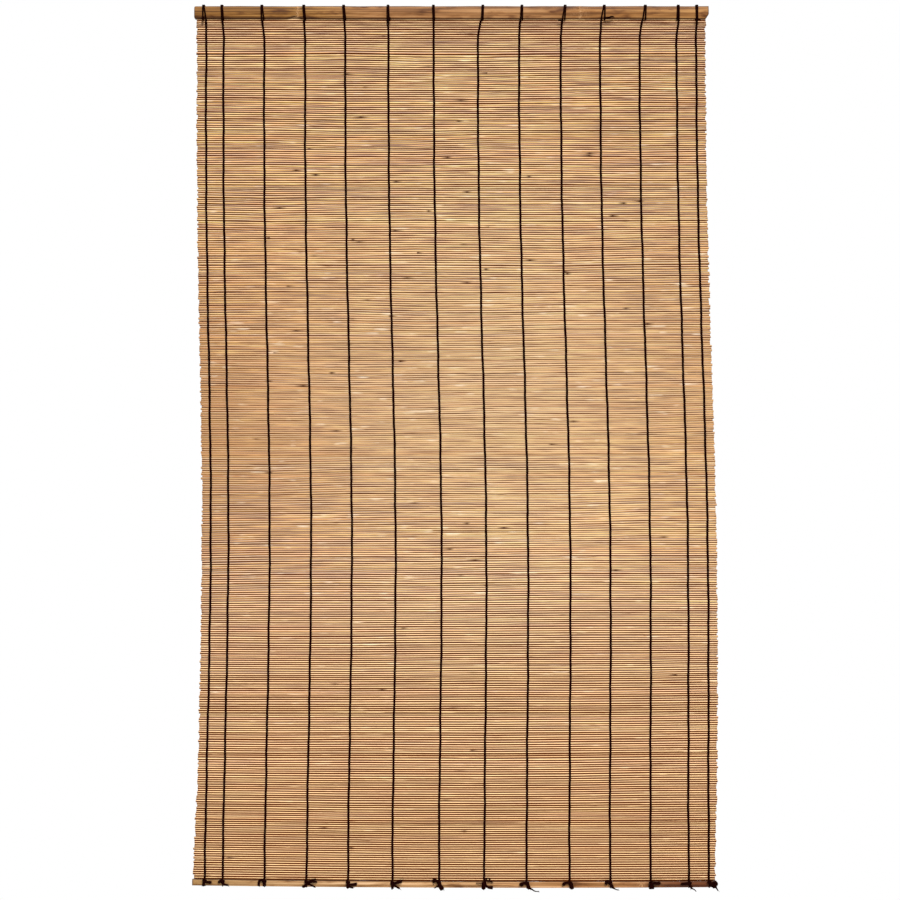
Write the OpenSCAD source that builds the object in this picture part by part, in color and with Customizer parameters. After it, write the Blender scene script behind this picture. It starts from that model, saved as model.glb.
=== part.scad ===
// Bamboo roll up blind: thin bamboo sticks twined on warp cords, hung from a head batten and
// weighted by a bottom batten. Seen from the front, +X points right, -Y points to the viewer and
// +Z points up. The origin is the middle of the head batten.

/* [Reed mat] */
// Length of a stick, which is the width of the mat
stick_len = 990; // [600:10:2000]
// Height of the mat between the two battens
mat_drop = 1656; // [800:2:2400]
// Height that each stick takes up
stick_pitch = 4.2; // [3.6:0.1:6]
// How deep neighbouring sticks are pressed together
stick_bite = 0.2; // [0.1:0.05:0.4]
// How far the ends of the sticks are out of line
ragged = 2; // [0:0.1:5]
// How much shorter the sticks are at half the mat's height
waist = 5; // [0:0.5:10]
// How far to the left of the head batten's middle the mat starts
start_shift = 0.5; // [0:0.5:10]
// How far the mat hangs out to the right where it swings widest
sway = 15.5; // [0:0.5:30]
// How far the lowest sticks have crept to the left through the cords
creep = 5; // [0:0.5:10]
// Height of a gap between two sticks
slit_h = 0.6; // [0.4:0.1:1]
// Gaps in each bay between two cords
slits_per_bay = 9; // [0:1:9]

/* [Head batten] */
// How far the head batten reaches past the mat at each end
head_over = 5; // [0:1:40]
// Height of the head batten
head_h = 25; // [18:0.5:40]
// Thickness of the head batten
head_t = 9; // [7:0.5:14]
// Outer diameter of the culm that the head batten was split from
head_culm_d = 90; // [70:1:140]
// How far a joint of the culm stands proud on the head batten
head_node_rise = 0.8; // [0.3:0.1:2]

/* [Bottom batten] */
// How far the bottom batten reaches past the mat at each end
foot_over = 1; // [0:1:20]
// Height of the bottom batten
foot_h = 12; // [9:0.5:25]
// Thickness of the bottom batten
foot_t = 7; // [5:0.5:12]
// Outer diameter of the culm that the bottom batten was split from
foot_culm_d = 60; // [40:1:120]
// How far a joint of the culm stands proud on the bottom batten
foot_node_rise = 0.5; // [0.2:0.1:1.5]

/* [Warp cords] */
// Thickness of a warp cord
cord_d = 3.4; // [2:0.1:4]
// Distance from the ends of the sticks to the outer cords
cord_inset = 19; // [8:1:60]
// Length of the loose end of a knot
tail_len = 16; // [8:1:24]
// Room between a cord and what it lies on
lay_gap = 0.15; // [0.1:0.05:0.3]

/* [Hidden] */
// One overrun serves every cut
overrun = 1;
round_fn = 48;

// Mat: the sticks hang below the head batten in one column
stick_d = stick_pitch + stick_bite;
stick_n = floor(mat_drop / stick_pitch);
mat_top = -head_h / 2 - lay_gap;
first_stick_z = mat_top - stick_d / 2;
mat_bottom = first_stick_z - (stick_n - 1) * stick_pitch - stick_d / 2;
// Ragged ends: longer and shorter sticks take turns, so that no two neighbours end in one plane
ragged_seed = 11;
ragged_shift_share = 0.15;
ragged_least_share = 0.5;
shift_shares = rands(-ragged_shift_share, ragged_shift_share, stick_n, ragged_seed);
growth_shares = rands(ragged_least_share, 1, stick_n, ragged_seed + 1);

// Sway: the mat swings out to its widest at swing_share of its height, then comes part of the way back
swing_share = 0.62;
foot_sway_share = 0.7;
swing_power = 1.5;
creep_from_share = 0.86;

// Head batten: the ends are sawn, the left corners are worn round and the lower right one is split off
head_len = stick_len + 2 * head_over;
head_worn_r = 3;
head_split_w = 6;
head_split_h = 9;
head_edge_r = 1.2;
head_node_w = 7;
head_node_shares = [-0.3, 0.25];
head_scar_share = -0.315;
head_scar_w = 12;
head_scar_h = 2;

// Bottom batten: it hangs below the last stick
foot_len = stick_len + 2 * foot_over;
foot_top = mat_bottom - lay_gap;
foot_z = foot_top - foot_h / 2;
foot_bottom = foot_top - foot_h;
foot_edge_r = 1;
foot_node_w = 6;
foot_node_shares = [-0.12, 0.36];

// Cords: places as shares of half the distance between the outer cords
cord_r = cord_d / 2;
cord_half_span = stick_len / 2 - cord_inset;
cord_shares = [
    -1, -0.929, -0.763, -0.596, -0.432, -0.256, -0.071, 0.109, 0.277, 0.447, 0.608, 0.769, 0.92, 1
];
// Sideways lean of each head loop, as a share of the head batten's height
loop_lean_shares = [
    -0.2, -0.12, -0.2, -0.1, -0.14, -0.06, -0.06, 0.34, 0.18, 0.3, 0.28, 0.4, 0.1, 0
];
// Directions of the two loose ends of each knot, in degrees from +X: the front end, then the back end
tail_turn = [
    [-15, 195], [175, -50], [160, -30], [-40, 35], [0, 190], [-35, 40], [-40, 140],
    [-35, 45], [-55, 175], [-20, 185], [-50, 150], [10, 210], [-55, 180], [-30, 15]
];
// Heights of the bends of a cord on the mat, as shares of the mat's height
front_bend_shares = [0.97, 0.87, 0.77, 0.68, 0.6, 0.5, 0.4, 0.3, 0.18, 0.02];
back_bend_shares = [0.02, 0.2, 0.4, 0.6, 0.77, 0.97];
cord_sides = 8;
arc_steps = 3;
mat_side = stick_d / 2 + lay_gap + cord_r;
head_side = head_t / 2 + head_node_rise + lay_gap + cord_r;
foot_side = foot_t / 2 + foot_node_rise + lay_gap + cord_r;
head_wrap_r = lay_gap + cord_r + head_edge_r;
foot_wrap_r = lay_gap + cord_r + foot_edge_r;
knot_rise_share = 1.3;
knot_rise = knot_rise_share * cord_d;
tail_points_shares = [0.35, 0.7, 1];

// A smooth step from 0 to 1
function ease(s) = (1 - cos(180 * min(1, max(0, s)))) / 2;

// Sideways place of the cords at a share of the mat's height
function sway_at(s) = -start_shift + sway * (
    s < swing_share
        ? pow(ease(s / swing_share), swing_power)
        : 1 - (1 - foot_sway_share) * ease((s - swing_share) / (1 - swing_share))
);

// Sideways place of the sticks, which have crept a little through the cords near the bottom
function stick_x(s) = sway_at(s) - creep * ease((s - creep_from_share) / (1 - creep_from_share));

function stick_z(i) = first_stick_z - i * stick_pitch;
function cord_x(k) = cord_half_span * cord_shares[k];

// Rectangle with round corners, centred on the origin
module round_rect(w, h, r) {
    square([w - 2 * r, h], center = true);
    square([w, h - 2 * r], center = true);
    for (sx = [-1, 1], sy = [-1, 1])
        translate([sx * (w / 2 - r), sy * (h / 2 - r)])
            circle(r = r, $fn = round_fn);
}

// Section of a split lath across its length: the front follows the round of the culm
module lath_section(t, h, culm_d, edge_r) {
    intersection() {
        round_rect(t, h, edge_r);
        translate([culm_d / 2 - t / 2, 0])
            circle(d = culm_d, $fn = 4 * round_fn);
    }
}

// Turns a section in the YZ plane into a bar along X, centred on the origin
module bar_along_x(length) {
    rotate([90, 0, 90])
        linear_extrude(height = length, center = true)
            children();
}

// The swollen ring that a joint of the culm leaves across a lath
module culm_joint(t, h, culm_d, rise, w) {
    ring_r = (w * w / 4 + rise * rise) / (2 * rise);
    intersection() {
        translate([0, culm_d / 2 - t / 2, 0])
            rotate([0, 90, 0])
                rotate_extrude($fn = 4 * round_fn)
                    translate([culm_d / 2 + rise - ring_r, 0])
                        circle(r = ring_r, $fn = 4 * round_fn);
        translate([-w / 2, -t / 2 - 2 * rise, -h / 2])
            cube([w, t, h]);
    }
}

module head_batten() {
    color("#9c6d46")
        difference() {
            union() {
                bar_along_x(head_len)
                    lath_section(head_t, head_h, head_culm_d, head_edge_r);
                for (s = head_node_shares)
                    translate([s * head_len, 0, 0])
                        culm_joint(head_t, head_h - 2 * head_edge_r, head_culm_d, head_node_rise, head_node_w);
            }
            head_worn_corners();
            head_split_corner();
            head_scar();
        }
}

// What is worn off the two corners of the left end
module head_worn_corners() {
    for (turn = [0, 180])
        rotate([turn, 0, 0])
            translate([-head_len / 2, 0, -head_h / 2])
                rotate([90, 0, 0])
                    linear_extrude(height = 2 * head_t, center = true)
                        difference() {
                            translate([-overrun, -overrun])
                                square(head_worn_r + overrun);
                            translate([head_worn_r, head_worn_r])
                                circle(r = head_worn_r, $fn = round_fn);
                        }
}

// The splinter that is gone from the lower corner of the right end
module head_split_corner() {
    translate([head_len / 2, 0, -head_h / 2])
        rotate([90, 0, 0])
            linear_extrude(height = 2 * head_t, center = true)
                polygon([[-head_split_w, -overrun], [-head_split_w, 0], [0, head_split_h],
                    [overrun, head_split_h], [overrun, -overrun]]);
}

// The shallow scar that a branch left in the lower edge
module head_scar() {
    scar_r = (head_scar_w * head_scar_w / 4 + head_scar_h * head_scar_h) / (2 * head_scar_h);
    translate([head_scar_share * head_len, 0, -head_h / 2 + head_scar_h - scar_r])
        rotate([90, 0, 0])
            cylinder(r = scar_r, h = 2 * head_t, center = true, $fn = 2 * round_fn);
}

module bottom_batten() {
    color("#c79a68")
        translate([stick_x(1), 0, foot_z]) {
            bar_along_x(foot_len)
                lath_section(foot_t, foot_h, foot_culm_d, foot_edge_r);
            for (s = foot_node_shares)
                translate([s * foot_len, 0, 0])
                    culm_joint(foot_t, foot_h - 2 * foot_edge_r, foot_culm_d, foot_node_rise, foot_node_w);
        }
}

// The mat: round sticks that press into each other, each of its own length and a little out of line
module reed_mat() {
    color("#d2a873")
        difference() {
            for (i = [0 : stick_n - 1])
                translate([stick_x(i / (stick_n - 1)) + ragged * shift_shares[i], 0, stick_z(i)])
                    rotate([0, 90, 0])
                        cylinder(d = stick_d, h = stick_length(i), center = true, $fn = round_fn);
            mat_slits();
        }
}

// Sticks of slightly uneven length, a little shorter towards half the mat's height
function stick_length(i) = stick_len - waist * sqrt(max(0, sin(180 * i / (stick_n - 1))))
    + (i % 2 == 0 ? ragged : -ragged) * growth_shares[i];

// See-through gaps between neighbouring sticks, spread over the bays between the cords
module mat_slits() {
    bays = len(cord_shares) - 1;
    slit_n = slits_per_bay * bays;
    for (k = [0 : 1 : slit_n - 1]) {
        row = floor((k + 0.5) * (stick_n - 1) / slit_n);
        bay = (5 * k) % bays;
        s = (row + 0.5) / (stick_n - 1);
        from_x = cord_x(bay) + 2 * cord_d;
        to_x = cord_x(bay + 1) - 2 * cord_d;
        translate([sway_at(s) + from_x, -stick_d, stick_z(row + 0.5) - slit_h / 2])
            cube([to_x - from_x, 2 * stick_d, slit_h]);
    }
}

function unit(v) = v / norm(v);

// Direction of a route at its point i
function heading(p, i) =
    i == 0 ? unit(p[1] - p[0]) :
    i == len(p) - 1 ? unit(p[i] - p[i - 1]) :
    unit(unit(p[i + 1] - p[i]) + unit(p[i] - p[i - 1]));

// Side direction of the tube at each point of a route, turned as little as possible from point to point
function sides_along(p) = [
    for (i = 0, n = unit(cross(heading(p, 0), [0, 1, 0]));
        i < len(p);
        i = i + 1, n = i < len(p) ? unit(n - (n * heading(p, i)) * heading(p, i)) : n)
        n
];

// Tube along a route
module tube(p, r) {
    n = sides_along(p);
    last = len(p) - 1;
    points = [
        for (i = [0 : last], a = [0 : cord_sides - 1])
            p[i] + r * (cos(360 * a / cord_sides) * n[i] + sin(360 * a / cord_sides) * cross(heading(p, i), n[i]))
    ];
    walls = [
        for (i = [0 : last - 1], a = [0 : cord_sides - 1])
            let (b = (a + 1) % cord_sides, low = i * cord_sides, high = low + cord_sides)
                [low + a, high + a, high + b, low + b]
    ];
    start_cap = [for (a = [0 : cord_sides - 1]) a];
    end_cap = [for (a = [cord_sides - 1 : -1 : 0]) last * cord_sides + a];
    polyhedron(points, concat(walls, [start_cap, end_cap]), convexity = 10);
}

// Points on an arc round a batten's edge: centre [y, z], radius, and angles from the +Y axis
function edge_arc(x, y, z, r, from, to) = [
    for (i = [0 : arc_steps])
        let (a = from + (to - from) * i / arc_steps)
            [x, y + r * cos(a), z + r * sin(a)]
];

// Point of a cord on the mat at a share of its height, in front or behind
function on_mat(k, s, y) = [cord_x(k) + sway_at(s), y, mat_top - s * (mat_top - mat_bottom)];

// Loose end that leaves a knot, from the knot outwards
function tail(x, y, turn) = [
    for (s = tail_points_shares)
        [x + tail_len * s * cos(turn), y, foot_top + tail_len * s * sin(turn)]
];

function reversed(p) = [for (i = [len(p) - 1 : -1 : 0]) p[i]];

// The route of a cord: front loose end, knot, front of the mat, over the head batten, back of the mat,
// under the bottom batten, knot again and back loose end
function cord_route(k) =
    let (
        top_x = cord_x(k) - start_shift + head_h * loop_lean_shares[k],
        low_x = cord_x(k) + sway_at(1),
        wrap_y = head_side - head_wrap_r,
        wrap_z = head_h / 2 - head_edge_r,
        turn_y = foot_side - foot_wrap_r,
        turn_z = foot_bottom + foot_edge_r,
        front_y = -foot_side - knot_rise
    )
    concat(
        reversed(tail(low_x, front_y, tail_turn[k][0])),
        [[low_x, front_y, foot_top]],
        [for (s = front_bend_shares) on_mat(k, s, -mat_side)],
        [[top_x, -head_side, -head_h / 2]],
        edge_arc(top_x, -wrap_y, wrap_z, head_wrap_r, 180, 90),
        edge_arc(top_x, wrap_y, wrap_z, head_wrap_r, 90, 0),
        [[top_x, head_side, -head_h / 2]],
        [for (s = back_bend_shares) on_mat(k, s, mat_side)],
        [[low_x, foot_side, foot_top]],
        edge_arc(low_x, turn_y, turn_z, foot_wrap_r, 0, -90),
        edge_arc(low_x, -turn_y, turn_z, foot_wrap_r, -90, -180),
        [[low_x, -foot_side, foot_top]],
        tail(low_x, -foot_side, tail_turn[k][1])
    );

module warp_cord(k) {
    color("#2a1a12")
        tube(cord_route(k), cord_r);
}

head_batten();
reed_mat();
bottom_batten();
warp_cord(0);  // warp_cord_01
warp_cord(1);  // warp_cord_02
warp_cord(2);  // warp_cord_03
warp_cord(3);  // warp_cord_04
warp_cord(4);  // warp_cord_05
warp_cord(5);  // warp_cord_06
warp_cord(6);  // warp_cord_07
warp_cord(7);  // warp_cord_08
warp_cord(8);  // warp_cord_09
warp_cord(9);  // warp_cord_10
warp_cord(10);  // warp_cord_11
warp_cord(11);  // warp_cord_12
warp_cord(12);  // warp_cord_13
warp_cord(13);  // warp_cord_14
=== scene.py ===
"""Looks of the bamboo roll up blind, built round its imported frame.

Metres. Seen from the front, +X points right, -Y points to the viewer and +Z points up.
The origin is the middle of the head batten.
"""

import math
import random

import bpy
import numpy as np
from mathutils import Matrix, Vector


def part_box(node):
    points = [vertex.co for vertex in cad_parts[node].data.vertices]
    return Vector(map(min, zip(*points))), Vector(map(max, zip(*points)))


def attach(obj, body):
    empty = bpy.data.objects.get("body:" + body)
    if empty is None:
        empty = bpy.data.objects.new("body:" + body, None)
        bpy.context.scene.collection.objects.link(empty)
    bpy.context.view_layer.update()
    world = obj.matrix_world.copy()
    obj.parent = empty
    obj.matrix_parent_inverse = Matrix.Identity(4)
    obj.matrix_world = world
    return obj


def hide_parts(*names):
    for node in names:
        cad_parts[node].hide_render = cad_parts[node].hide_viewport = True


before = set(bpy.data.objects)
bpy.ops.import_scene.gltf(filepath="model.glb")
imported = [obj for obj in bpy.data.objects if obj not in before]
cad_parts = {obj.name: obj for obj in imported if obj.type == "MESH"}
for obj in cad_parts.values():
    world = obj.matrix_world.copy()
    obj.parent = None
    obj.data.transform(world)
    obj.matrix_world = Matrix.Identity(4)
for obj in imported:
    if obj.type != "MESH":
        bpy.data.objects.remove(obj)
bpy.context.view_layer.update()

MM = 0.001
dice = random.Random(4)

# Places taken from the frame
mat_low, mat_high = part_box("reed_mat")
head_low, head_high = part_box("head_batten")
foot_low, foot_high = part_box("bottom_batten")
mat_drop = mat_high.z - mat_low.z

# Sticks of the mat
STICK_PITCH = 4.2 * MM
STICK_D = 4.4 * MM
STICK_LEN = 990 * MM
WAIST = 5 * MM
STICK_SIDES = 6
STICK_SPANS = 12
stick_count = round(mat_drop / STICK_PITCH)
# Shares of a stick's length. All sticks bend at the same places, so that none lies open to its neighbour
BEND_PLACES = np.linspace(0, 1, 8)
WORN_END = 0.006
JOINT_FROM = 0.06
JOINT_REACH = 0.0115
# Shares of that reach by which a joint's mark runs out at least, and by how much more it may. The steps
# spread the lengths evenly over the sticks, one step for each side of the joint
REACH_LEAST, REACH_MORE = 0.45, 1.3
REACH_STEPS = (0.618, 0.755)
# Thickness of a stick beside the mean one, and its spread: at the top, and what is lost towards the foot
THICK_TOP, THICK_LOSS = 1.01, 0.02
THICK_SPREAD, THICK_SPREAD_LOSS = 0.085, 0.05
THICK_MOST_OFF = 0.2
# The least and the most of what is drawn for each stick: shares of its size, radians, then millimetres
HIGH_SHARES = (1.27, 1.35)
DEEP_SHARES = (0.86, 1.0)
RING_SWELL = (-0.03, 0.03)
END_SHARES = (0.78, 0.95)
JOINT_SWELL = 1.08
STICK_TURN = (-0.12, 0.12)
LENGTH_OFF = (-3.5, 2)
MIDDLE_OFF = (-0.8, 0.8)
DEPTH_OFF = (-0.25, 0.25)
HEIGHT_OFF = (-0.1, 0.1)

# The way the mat hangs: it swings to the right, and its lowest sticks have crept to the left
START_SHIFT = 0.5 * MM
SWAY = 15.5 * MM
SWING_SHARE = 0.65
FOOT_SWAY_SHARE = 0.7
SWING_POWER = 1.5
CREEP = 5 * MM
CREEP_FROM_SHARE = 0.86

# How far the sticks hang below a level line, in millimetres:
# share of the mat's height, then at the left end, in the middle and at the right end
HANG = np.array((
    (0.00, 0, 0, 0), (0.05, 0, 1.8, 0.2), (0.10, 0, 2.3, 0.2), (0.19, 0, -0.2, 0),
    (0.31, 0, 1.4, -0.4), (0.43, 0, 0, -3.8), (0.54, 0, -2, -4), (0.65, 0, -2.7, -4),
    (0.77, 0, -0.2, -3.4), (0.90, -1, 2.4, -0.8), (1.00, -2.6, 1.8, 0.8)))
# Waves of the sticks: height in millimetres, then length across and down the mat in metres
RIPPLES = ((0.9, 0.6, 0.47), (0.6, -0.43, 0.26), (0.3, 0.36, 0.17))
# Shares of the mat's height: the waves rise and fade over the first at its top and foot,
# and lose a part of their height below LOWER_FROM
RIPPLE_FADE = 0.06
RIPPLE_LOSS, RIPPLE_LOSS_OVER = 0.55, 0.3
LOWER_FROM = 0.5

# Warp cords, as shares of half the distance between the outer cords
CORD_INSET = 19 * MM
CORD_SHARES = (-1, -0.929, -0.763, -0.596, -0.432, -0.256, -0.071,
               0.109, 0.277, 0.447, 0.608, 0.769, 0.92, 1)
# Head loops, in millimetres: how far to the right of the cord the top lies,
# then the leg that runs on into the mat, then the leg that ends
LOOP_SHAPES = (
    (-5.3, -0.6, -6.6), (-3.6, -3.2, -0.6), (-5, -5.2, -1), (-3, -2.4, 0.4), (-3.6, -3, 0.3),
    (-1.1, -2.3, 0.9), (-0.9, -1.1, 1), (9.5, 7.3, 9.8), (5.5, 3.1, 6.5), (8.7, 3.6, 7.9),
    (8.1, 2.4, 8.9), (11.2, 6.6, 11.5), (3.4, 4.4, 1.1), (1.2, 2.3, 0.6))
STRAND_R = 2.2 * MM
STRAND_NECK_R = 2.0 * MM
TWINE_SIDE = 0.5 * MM
TWINE_DEPTH = 2.6 * MM
TWINE_STEPS = 4
CORD_SIDES = 6
LEAN_REACH = 38 * MM
LEAN_POWER = 1.3
CORD_WAIST = 0.0036
CORD_FOOT_SPREAD = 0.0025
# Sideways wander of a cord: how far, in millimetres, and how fast, in radians a metre
WANDER = ((0.35, 31), (0.25, 77), (0.12, 240))
# Waves and knots start anywhere within this turn, in radians
FULL_TURN = 6.28


def limit(value, low, high):
    """A value held between two others."""
    return min(high, max(low, value))


def ease(share):
    """A smooth step from 0 to 1."""
    return (1 - math.cos(math.pi * limit(share, 0, 1))) / 2


def hump(at, high, centre, width):
    """A smooth hump of a height and width round a centre."""
    return high * np.exp(-((at - centre) / width) ** 2)


def sway_at(share):
    """Sideways place of the cords at a share of the mat's height."""
    if share < SWING_SHARE:
        swing = ease(share / SWING_SHARE) ** SWING_POWER
    else:
        swing = 1 - (1 - FOOT_SWAY_SHARE) * ease((share - SWING_SHARE) / (1 - SWING_SHARE))
    return SWAY * swing - START_SHIFT


def stick_x(share):
    """Sideways place of the sticks at a share of the mat's height."""
    return sway_at(share) - CREEP * ease((share - CREEP_FROM_SHARE) / (1 - CREEP_FROM_SHARE))


def stick_thicknesses():
    """How thick each stick is beside the mean one. Lower ones are thinner and more even."""
    thick = []
    for share in np.linspace(0, 1, stick_count):
        off = dice.gauss(0, THICK_SPREAD - THICK_SPREAD_LOSS * share)
        thick.append(THICK_TOP - THICK_LOSS * share + limit(off, -THICK_MOST_OFF, THICK_MOST_OFF))
    return np.array(thick)


stick_thick = stick_thicknesses()
stick_order = np.arange(stick_count)
stick_depth = np.cumsum(stick_thick) - stick_thick / 2
stick_depth -= stick_depth[0]
stick_depth *= (stick_count - 1) * STICK_PITCH / stick_depth[-1]


def stick_z(index):
    """Height of a level stick, counted from the top, or of a place between two."""
    return mat_high.z - STICK_D / 2 - np.interp(index, stick_order, stick_depth)


def hang(x, share):
    """How far the mat hangs below a level line at a place across it and a share of its height."""
    left, middle, right = (np.interp(share, HANG[:, 0], HANG[:, i]) * MM for i in (1, 2, 3))
    u = x / (STICK_LEN / 2)
    ripple = sum(high * MM * np.sin(2 * math.pi * (x / across + share * mat_drop / down))
                 for high, across, down in RIPPLES)
    slack = ease(share / RIPPLE_FADE) * ease((1 - share) / RIPPLE_FADE)
    slack *= 1 - RIPPLE_LOSS * ease((share - LOWER_FROM) / RIPPLE_LOSS_OVER)
    return left * (u * u - u) / 2 + middle * (1 - u * u) + right * (u * u + u) / 2 + slack * ripple


# Shader helpers

def linear(hex_colour):
    """An sRGB hex colour as linear RGBA."""
    parts = [int(hex_colour[i:i + 2], 16) / 255 for i in (1, 3, 5)]
    return tuple(c / 12.92 if c <= 0.04045 else ((c + 0.055) / 1.055) ** 2.4 for c in parts) + (1,)


def add(tree, kind, inputs=None, stops=None, **settings):
    """Adds a shader node with its settings, and with its inputs set or linked. stops are a ramp's colours."""
    made = tree.nodes.new(kind)
    for name, value in settings.items():
        setattr(made, name, value)
    for name, value in (inputs or {}).items():
        if isinstance(value, bpy.types.NodeSocket):
            tree.links.new(value, made.inputs[name])
        else:
            made.inputs[name].default_value = value
    if stops:
        while len(made.color_ramp.elements) < len(stops):
            made.color_ramp.elements.new(1)
        for element, (place, colour) in zip(made.color_ramp.elements, stops):
            element.position = place
            element.color = linear(colour)
    return made


def new_material(name):
    """An empty node material and its output node."""
    material = bpy.data.materials.new(name)
    material.use_nodes = True
    material.node_tree.nodes.clear()
    return material, material.node_tree, material.node_tree.nodes.new("ShaderNodeOutputMaterial")


# Index of the colour sockets of a Mix node
MIX_A, MIX_B = 6, 7
MIX_OUT = 2


def bamboo_stick_material():
    """Bare split bamboo sticks: dull, streaked along the fibre, each of its own shade from brown to cream."""
    material, tree, out = new_material("bare_split_bamboo_sticks")
    place = add(tree, "ShaderNodeTexCoord").outputs["Object"]
    tone, seed, flank, mark, gap, bleach, patchy = (
        add(tree, "ShaderNodeAttribute", attribute_name=name).outputs["Fac"]
        for name in ("tone", "seed", "flank", "mark", "gap", "bleach", "patchy"))
    # Lengths of 3 to 9 cm that are lighter or darker than the rest of their stick
    wide = add(tree, "ShaderNodeMapping", {"Vector": place, "Scale": (15, 60, 60)}).outputs["Vector"]
    shift = add(tree, "ShaderNodeTexNoise", {"Vector": wide, "W": seed, "Scale": 1, "Detail": 2},
                noise_dimensions="4D").outputs["Fac"]
    off_mean = add(tree, "ShaderNodeMath", {0: shift, 1: 0.5}, operation="SUBTRACT").outputs["Value"]
    patch = add(tree, "ShaderNodeMath", {0: off_mean, 1: patchy, 2: 0.5},
                operation="MULTIPLY_ADD").outputs["Value"]
    drift = add(tree, "ShaderNodeMapRange", {"Value": patch, "From Min": 0.25, "From Max": 0.75,
                                             "To Min": -0.34, "To Max": 0.34}).outputs["Result"]
    level = add(tree, "ShaderNodeMath", {0: tone, 1: drift}, operation="ADD").outputs["Value"]
    base = add(tree, "ShaderNodeValToRGB", {"Fac": level}, stops=(
        (0.0, "#b57b2c"), (0.3, "#d89f4d"), (0.5, "#e6b565"), (0.75, "#f2cb7e"), (1.0, "#ffe2a2")))
    # Fibre streaks, a few across the width of a stick
    along = add(tree, "ShaderNodeMapping", {"Vector": place, "Scale": (9, 420, 420)}).outputs["Vector"]
    streak = add(tree, "ShaderNodeTexNoise", {"Vector": along, "W": seed, "Scale": 1, "Detail": 3},
                 noise_dimensions="4D").outputs["Fac"]
    streak_shade = add(tree, "ShaderNodeValToRGB", {"Fac": streak}, stops=(
        (0.24, "#8c6640"), (0.42, "#f3eadd"), (0.7, "#ffffff")))
    # Some sticks, and patches a hand wide, are a little pink, others a little green
    hue = add(tree, "ShaderNodeTexNoise", {"W": seed, "Scale": 1, "Detail": 0},
              noise_dimensions="1D").outputs["Fac"]
    hands = add(tree, "ShaderNodeMapping", {"Vector": place, "Scale": (13, 13, 60)}).outputs["Vector"]
    area = add(tree, "ShaderNodeTexNoise", {"Vector": hands, "Scale": 1, "Detail": 2}).outputs["Fac"]
    lean = add(tree, "ShaderNodeMath", {0: hue, 1: area}, operation="ADD").outputs["Value"]
    half_lean = add(tree, "ShaderNodeMath", {0: lean, 1: 0.5}, operation="MULTIPLY").outputs["Value"]
    cast = add(tree, "ShaderNodeValToRGB", {"Fac": half_lean}, stops=(
        (0.38, "#ffe8dc"), (0.5, "#fcf8f2"), (0.62, "#f2f5dc"))).outputs["Color"]
    tinted = add(tree, "ShaderNodeMix", {0: 0.9, MIX_A: base.outputs["Color"], MIX_B: cast},
                 data_type="RGBA", blend_type="MULTIPLY").outputs[MIX_OUT]
    # The middle of the mat has bleached to a cooler cream
    bleached_share = add(tree, "ShaderNodeMath", {0: bleach, 1: 0.75}, operation="MULTIPLY").outputs["Value"]
    bleached = add(tree, "ShaderNodeMix", {0: bleached_share, MIX_A: tinted, MIX_B: linear("#c2a582")},
                   data_type="RGBA").outputs[MIX_OUT]
    streaked = add(tree, "ShaderNodeMix", {0: 0.85, MIX_A: bleached,
                                           MIX_B: streak_shade.outputs["Color"]},
                   data_type="RGBA", blend_type="MULTIPLY").outputs[MIX_OUT]
    # Painted highlight: the upper side of each stick is painted paler, the more the sticks lie open
    upper = add(tree, "ShaderNodeMapRange", {"Value": flank, "From Min": -0.05, "From Max": 0.45,
                                             "To Min": 0, "To Max": 0.42}).outputs["Result"]
    painted_highlight = add(tree, "ShaderNodeMath", {0: upper, 1: gap}, operation="MULTIPLY").outputs["Value"]
    highlighted = add(tree, "ShaderNodeMix", {0: painted_highlight, MIX_A: streaked, MIX_B: linear("#fff2e0")},
                  data_type="RGBA").outputs[MIX_OUT]
    # Pale streaks 2 to 6 cm long, where the skin has split off
    short = add(tree, "ShaderNodeMapping", {"Vector": place, "Scale": (19, 60, 60)}).outputs["Vector"]
    chips = add(tree, "ShaderNodeTexNoise", {"Vector": short, "W": seed, "Scale": 1, "Detail": 2},
                noise_dimensions="4D").outputs["Fac"]
    peel = add(tree, "ShaderNodeMapRange", {"Value": chips, "From Min": 0.62, "From Max": 0.8,
                                            "To Min": 0, "To Max": 0.6}).outputs["Result"]
    peeled = add(tree, "ShaderNodeMix", {0: peel, MIX_A: highlighted, MIX_B: linear("#fff0d6")},
                 data_type="RGBA").outputs[MIX_OUT]
    # Near the foot the sticks have kept a warmer colour
    warmth = add(tree, "ShaderNodeMapRange", {"Value": gap, "From Min": 0.95, "From Max": 1.4,
                                              "To Min": 0, "To Max": 1}).outputs["Result"]
    warmed = add(tree, "ShaderNodeMix", {0: warmth, MIX_A: peeled, MIX_B: linear("#ffeccc")},
                 data_type="RGBA", blend_type="MULTIPLY").outputs[MIX_OUT]
    # Painted shade on the flanks of each stick, in the crevices between the sticks. It reaches further where
    # the sticks lie open, mostly from below
    uneven = add(tree, "ShaderNodeMath", {0: patch, 1: -1.1, 2: 0.55},
                 operation="MULTIPLY_ADD").outputs["Value"]
    rough_gap = add(tree, "ShaderNodeMath", {0: gap, 1: uneven}, operation="ADD").outputs["Value"]
    open_gap = add(tree, "ShaderNodeMath", {0: peel, 1: -0.7, 2: rough_gap},
                   operation="MULTIPLY_ADD").outputs["Value"]
    low_edge = add(tree, "ShaderNodeMapRange", {"Value": open_gap, "From Min": 0, "From Max": 1.4,
                                                "To Min": -0.66, "To Max": 0.46}).outputs["Result"]
    low_full = add(tree, "ShaderNodeMath", {0: low_edge, 1: -0.3}, operation="ADD").outputs["Value"]
    below = add(tree, "ShaderNodeMapRange", {"Value": flank, "From Min": low_edge, "From Max": low_full,
                                             "To Min": 0, "To Max": 1}).outputs["Result"]
    above = add(tree, "ShaderNodeMapRange", {"Value": flank, "From Min": 0.6, "From Max": 0.82,
                                             "To Min": 0, "To Max": 1}).outputs["Result"]
    shade = add(tree, "ShaderNodeMath", {0: below, 1: above}, operation="MAXIMUM").outputs["Value"]
    crevice_shaded = add(tree, "ShaderNodeMix", {0: shade, MIX_A: warmed, MIX_B: linear("#582805")},
                  data_type="RGBA").outputs[MIX_OUT]
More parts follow.
